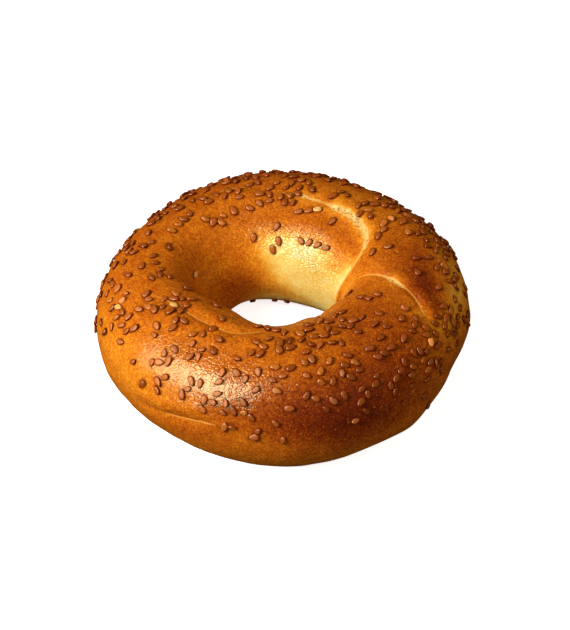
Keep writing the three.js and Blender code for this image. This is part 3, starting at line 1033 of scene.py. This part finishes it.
@dataclass(frozen=True)
class SeedFinish:
    """A sesame seed's thin shiny skin: cloudy on its back, with painted shade down its side."""

    shade: SeedShade
    back: Colour
    rim: Colour
    # painted shade down the seed's side
    painted_side_shade: Colour
    glazed: float               # how much of the crust's colour the egg wash gives it
    glaze_bake: float = 0.10    # how much browner than the crust that colour is
    darkest: Colour = (0.60, 0.52, 0.46)  # what the darkest seeds' colour is multiplied by
    roughness: float = 0.22
    index: float = 1.26
    shine: Colour = (0.90, 1.0, 0.60)

    def material(self) -> bpy.types.Material:
        """Builds the seeds' material.

        Returns:
            The material, which reads the seeds' attributes.
        """
        board = Board(self.shade.value)
        place = board.place()
        tone = board.attribute("tone")
        side = board.attribute("side")
        cloud = board.noise(place, 0.9, 2.0, 0.5) - 0.5
        back = board.mixed((0.5 + 2.0 * cloud).clamped(), self.back, self.rim)
        dark = board.mixed(1.0, back, self.darkest, "MULTIPLY")
        glaze = board.ramp(board.attribute("browning") + self.glaze_bake, CrustFinish().bake_stops)
        glazed = board.mixed(self.glazed, board.mixed(tone, back, dark), glaze)
        # painted shade down each seed's side
        toned = board.mixed(side.step(0.36, 0.90), glazed, self.painted_side_shade)
        skin = board.noise(place, 0.35, 2.0, 0.6)
        rough = self.roughness + 0.24 * (1.0 - side.step(0.10, 0.60)) + 0.1 * cloud
        return board.surface({
            "Base Color": toned, "Roughness": rough, "IOR": self.index,
            "Specular Tint": self.shine, "Normal": board.bump(skin, 0.03),
        })


# each third colour is the painted shade down the seeds' sides
SEED_FINISHES = (
    SeedFinish(SeedShade.TOASTED, (0.50, 0.138, 0.015), (0.32, 0.062, 0.006), (0.14, 0.016, 0.002), 0.42),
    SeedFinish(SeedShade.GOLDEN, (0.70, 0.260, 0.034), (0.50, 0.135, 0.014), (0.24, 0.040, 0.004), 0.35),
    SeedFinish(SeedShade.PALE, (0.93, 0.620, 0.210), (0.80, 0.450, 0.110), (0.40, 0.130, 0.020), 0.05),
)


@dataclass
class Seeds:
    """All sesame seeds, as one piece for each shade."""

    crust: Crust
    scattering: Scattering = field(default_factory=Scattering)
    segments: int = 10
    rings: int = 6
    flatness: float = 0.5   # power of the back's curve: less is flatter with a steeper side
    dish: float = 0.2       # how much lower the back's middle is than its rim
    dish_area: float = 0.7  # share of the back that is dished
    thinning: float = 0.15  # how much thinner the seed is towards its tip

    def __post_init__(self) -> None:
        """Scatters the seeds over the crust."""
        self.all = self.scattering.scatter(self.crust.rope)
        self.scattering.shade(self.all)
        for seed in self.all:
            seed.lay(self.crust)

    def _model(self) -> tuple[Array, Array, list[tuple[int, ...]]]:
        """Models one seed: a flat teardrop with a low rim round its back.

        Returns:
            Its points, in millimetres, how far down its side each one is, and its faces.
        """
        bpy.ops.object.select_all(action="DESELECT")
        bpy.ops.mesh.primitive_uv_sphere_add(segments=self.segments, ring_count=self.rings, radius=1.0)
        ball = bpy.context.object
        points = np.array([vertex.co[:] for vertex in ball.data.vertices])
        # Blender lists a sphere's faces in another order each time, so they are sorted.
        faces = sorted(tuple(polygon.vertices) for polygon in ball.data.polygons)
        bpy.data.objects.remove(ball)
        x, y, z = points.T
        thick = 0.5 * (SEED_RISE + SEED_SUNK)
        dished = 1 - self.dish * np.clip(1 - (x * x + y * y) / self.dish_area, 0, 1) * (z > 0)
        height = np.sign(z) * np.abs(z) ** self.flatness * thick * dished * (1 - self.thinning * x)
        shaped = np.stack([
            x * SEED_LENGTH / 2,
            y * (1 - SEED_TAPER * x) * SEED_WIDTH / 2,
            height + SEED_RISE - thick,
        ], axis=-1)
        return shaped, 1 - z, faces

    def build(self) -> list[bpy.types.Object]:
        """Models the seeds.

        Returns:
            One piece for each shade.
        """
        shape, side, faces = self._model()
        pieces = []
        for finish in SEED_FINISHES:
            chosen = [seed for seed in self.all if seed.shade is finish.shade]
            points, all_faces = [], []
            for i, seed in enumerate(chosen):
                axes = np.array([seed.along, seed.over, seed.out])
                points.append(seed.point + shape * seed.size @ axes)
                all_faces.extend(tuple(corner + i * len(shape) for corner in face) for face in faces)
            mesh = bpy.data.meshes.new(finish.shade.piece)
            mesh.from_pydata(np.vstack(points) * MM, [], all_faces)
            store(mesh, {
                "tone": np.repeat([seed.tone() for seed in chosen], len(shape)),
                "browning": np.repeat([seed.browning for seed in chosen], len(shape)),
                "side": np.tile(side, len(chosen)),
            })
            mesh.shade_smooth()
            mesh.materials.append(finish.material())
            piece = bpy.data.objects.new(finish.shade.piece, mesh)
            bpy.context.collection.objects.link(piece)
            pieces.append(piece)
        return pieces


# --- Studio ---

WHITE = (1.0, 1.0, 1.0)
LAMPLIGHT = (1.0, 0.90, 0.76)


@dataclass(frozen=True)
class Softbox:
    """A flat lamp that points at the bagel."""

    name: str
    direction: tuple[float, float, float]
    distance: float
    width: float
    height: float
    power: float
    window: bool = False    # a window only shows in the gloss, and a lamp only lights

    def build(self, target: Vector) -> None:
        """Hangs the lamp.

        Args:
            target: the point it shines at.
        """
        bpy.ops.object.light_add(type="AREA")
        lamp = bpy.context.object
        lamp.name = lamp.data.name = self.name
        lamp.data.shape = "RECTANGLE"
        lamp.data.size, lamp.data.size_y = self.width, self.height
        lamp.data.energy = self.power
        lamp.data.color = WHITE if self.window else LAMPLIGHT
        lamp.visible_glossy = self.window
        lamp.visible_diffuse = not self.window
        towards = Vector(self.direction).normalized()
        lamp.location = target + towards * self.distance
        lamp.rotation_euler = towards.to_track_quat("Z", "Y").to_euler()


@dataclass
class Studio:
    """Pale floor, soft lamps and the camera."""

    target: tuple[float, float, float] = (-1.9, 1.3, 18.0)
    elevation: float = 42.0
    distance: float = 530.0
    aim_right: float = 2.35
    aim_down: float = 2.09
    lens: float = 102.97
    floor_side: float = 8.0
    ambient: float = 0.16
    ambient_colour: Colour = (1.0, 0.97, 0.93)
    lamps: tuple[Softbox, ...] = (
        Softbox("key", (-0.68, -0.39, 0.62), 0.55, 0.20, 0.20, 3.65),
        Softbox("front_fill", (0.45, -0.60, 0.66), 0.9, 0.8, 0.8, 2.5),
        Softbox("left_window", (-0.76, -0.28, 0.59), 0.55, 0.36, 0.66, 11.3, window=True),
        Softbox("front_window", (-0.56, -0.65, 0.51), 0.55, 0.24, 0.54, 8.4, window=True),
        Softbox("top_window", (-0.38, -0.22, 0.90), 0.55, 0.26, 0.26, 2.1, window=True),
    )

    def _floor(self) -> None:
        """Lays the floor."""
        bpy.ops.object.select_all(action="DESELECT")
        bpy.ops.mesh.primitive_plane_add(size=self.floor_side, location=(0, 0, -0.1 * MM))
        floor = bpy.context.object
        floor.name = "floor"
        board = Board("floor_paper")
        tint = board.mixed(board.noise(board.place(), 60.0), (0.90, 0.90, 0.90), (0.93, 0.93, 0.93))
        floor.data.materials.append(board.surface({
            "Base Color": tint, "Roughness": 0.9, "Emission Color": WHITE, "Emission Strength": 0.8,
        }))
        floor.visible_diffuse = False
        floor.visible_glossy = False

    def _camera(self) -> None:
        """Sets up the camera, looking along +Y and down."""
        target = Vector(self.target) * MM
        angle = math.radians(self.elevation)
        back = Vector((0, -math.cos(angle), math.sin(angle)))
        up = Vector((0, math.sin(angle), math.cos(angle)))
        location = target + back * self.distance * MM
        aim = target + (Vector((1, 0, 0)) * self.aim_right - up * self.aim_down) * MM
        data = bpy.data.cameras.new("camera")
        data.lens = self.lens
        data.clip_start, data.clip_end = 0.01, 20.0
        camera = bpy.data.objects.new("camera", data)
        bpy.context.collection.objects.link(camera)
        camera.location = location
        camera.rotation_euler = (location - aim).to_track_quat("Z", "Y").to_euler()
        bpy.context.scene.camera = camera

    def build(self) -> None:
        """Sets up floor, lamps, ambient light and camera."""
        self._floor()
        for lamp in self.lamps:
            lamp.build(Vector(self.target) * MM)
        world = bpy.data.worlds.new("studio")
        world.use_nodes = True
        backdrop = world.node_tree.nodes["Background"]
        backdrop.inputs["Color"].default_value = (*self.ambient_colour, 1.0)
        backdrop.inputs["Strength"].default_value = self.ambient
        world.cycles_visibility.glossy = False
        bpy.context.scene.world = world
        bpy.context.scene.view_settings.view_transform = "Standard"
        self._camera()


def main() -> None:
    """Builds the bagel and its studio, and reports each piece."""
    Studio().build()
    crust = Crust()
    seeds = Seeds(crust)
    skin = crust.build(seeds.all)
    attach(skin, BODY)
    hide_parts(NODE)
    log.info("%s: %d faces", skin.name, len(skin.data.polygons))
    for piece, finish in zip(seeds.build(), SEED_FINISHES):
        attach(piece, BODY)
        log.info("%s: %d faces", piece.name, len(piece.data.polygons))


if __name__ == "__main__":
    logging.basicConfig(level=logging.INFO, format="%(name)s %(message)s")
    main()
